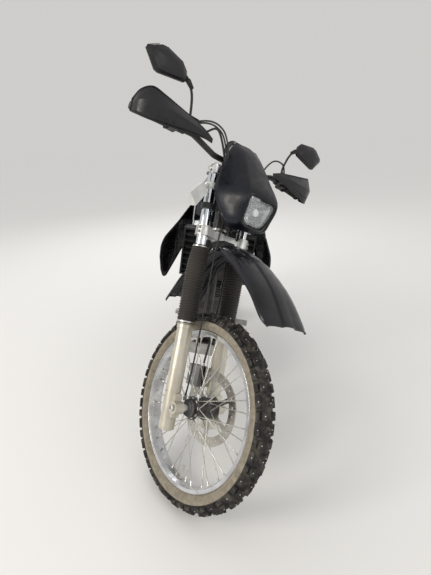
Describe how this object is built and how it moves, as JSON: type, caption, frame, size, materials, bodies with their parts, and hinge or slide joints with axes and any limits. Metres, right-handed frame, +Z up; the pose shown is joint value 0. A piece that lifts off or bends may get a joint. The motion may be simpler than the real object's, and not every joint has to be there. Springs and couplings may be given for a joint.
{
  "type": "dual sport motorcycle",
  "caption": "Dual sport motorcycle leaning on its side stand: high fender, fork-mounted lamp mask, hand guards, gaitered fork, spoked wheels with lugged tyres and an open engine.",
  "frame": {"origin": "centre of the parked machine's bounding box, on the floor it stands on", "axes": "+Z up, the front wheel towards -Y and the tail towards +Y, +X to the rider's left, the side it leans to"},
  "size_m": [0.7734, 2.0997, 1.529],
  "materials": {
    "axle_steel": "zinc plated",
    "black_plastic": "grained black",
    "caliper": "grey cast",
    "cap": "satin",
    "chain": "oiled steel",
    "chromed_tube": "hard chrome",
    "clamp": "silver satin",
    "control": "satin black",
    "disc": "ground steel",
    "engine": "dark grey cast",
    "exhaust": "heat tinted steel",
    "fender": "gloss black",
    "fork_leg": "champagne silver",
    "frame": "satin black",
    "gaiter": "dusty black rubber",
    "grip": "ribbed black rubber",
    "handlebar": "satin black",
    "hub": "dark cast, satin",
    "indicator": "clear lens",
    "instrument": "black with dials",
    "lamp_body": "black",
    "mask": "gloss black",
    "peg": "zinc plated",
    "radiator": "black fins",
    "rear_fender": "black",
    "rim": "bright anodised",
    "seat_cover": "grained black vinyl",
    "shock": "grey spring",
    "shroud": "gloss black",
    "side_panel": "gloss black",
    "silencer": "satin steel",
    "skid": "scuffed",
    "spoke": "zinc plated",
    "sprocket": "dull steel",
    "stand": "black",
    "swingarm": "silver satin",
    "tail_lamp": "red lens",
    "tank": "gloss black",
    "tyre": "dusty black rubber"
  },
  "bodies": {
    "root": {"frame": "frame", "swingarm": "swingarm", "axle_and_pivot_bolts": "axle_steel", "engine_case": "engine", "engine_top": "engine", "exhaust_header": "exhaust", "silencer": "silencer", "skid_plate": "skid", "radiators": "radiator", "fuel_tank": "tank", "fuel_cap": "cap", "shrouds": "shroud", "seat": "seat_cover", "side_panels": "side_panel", "rear_fender": "rear_fender", "rear_lamps": "tail_lamp", "rear_shock": "shock", "chain": "chain", "front_sprocket": "sprocket", "footpegs": "peg", "foot_controls": "peg", "rear_caliper": "caliper"},
    "steering": {"triple_clamps": "clamp", "fork_tubes": "chromed_tube", "fork_gaiters": "gaiter", "fork_legs": "fork_leg", "front_axle": "axle_steel", "handlebar": "handlebar", "grips": "grip", "hand_controls": "control", "handguards": "black_plastic", "mirrors": "black_plastic", "instruments": "instrument", "headlamp_mask": "mask", "headlamp": "lamp_body", "front_fender": "fender", "front_indicators": "indicator", "front_caliper": "caliper"},
    "front_wheel": {"front_tyre": "tyre", "front_rim": "rim", "front_hub": "hub", "front_spokes": "spoke", "front_disc": "disc"},
    "rear_wheel": {"rear_tyre": "tyre", "rear_rim": "rim", "rear_hub": "hub", "rear_spokes": "spoke", "rear_disc": "disc", "rear_sprocket": "sprocket"},
    "side_stand": {"side_stand": "stand"}
  },
  "joints": [
    {"name": "steering_turn", "type": "hinge", "parent": "root", "child": "steering", "pos_m": [-0.02709, -0.37456, 0.95663], "axis": [0.1764, 0.4603, 0.8701], "range_deg": [-86, 0]},
    {"name": "front_wheel_spin", "type": "hinge", "parent": "steering", "child": "front_wheel", "pos_m": [-0.11076, -0.76258, 0.31687], "axis": [0.6533, 0.6065, -0.4533], "continuous": true},
    {"name": "rear_wheel_spin", "type": "hinge", "parent": "root", "child": "rear_wheel", "pos_m": [-0.1588, 0.71177, 0.31682], "axis": [0.9799, 0.0014, -0.1994], "continuous": true},
    {"name": "side_stand_fold", "type": "hinge", "parent": "root", "child": "side_stand", "pos_m": [-0.05052, 0.03956, 0.20232], "axis": [0.8079, -0.192, 0.5572], "range_deg": [0, 101]}
  ]
}
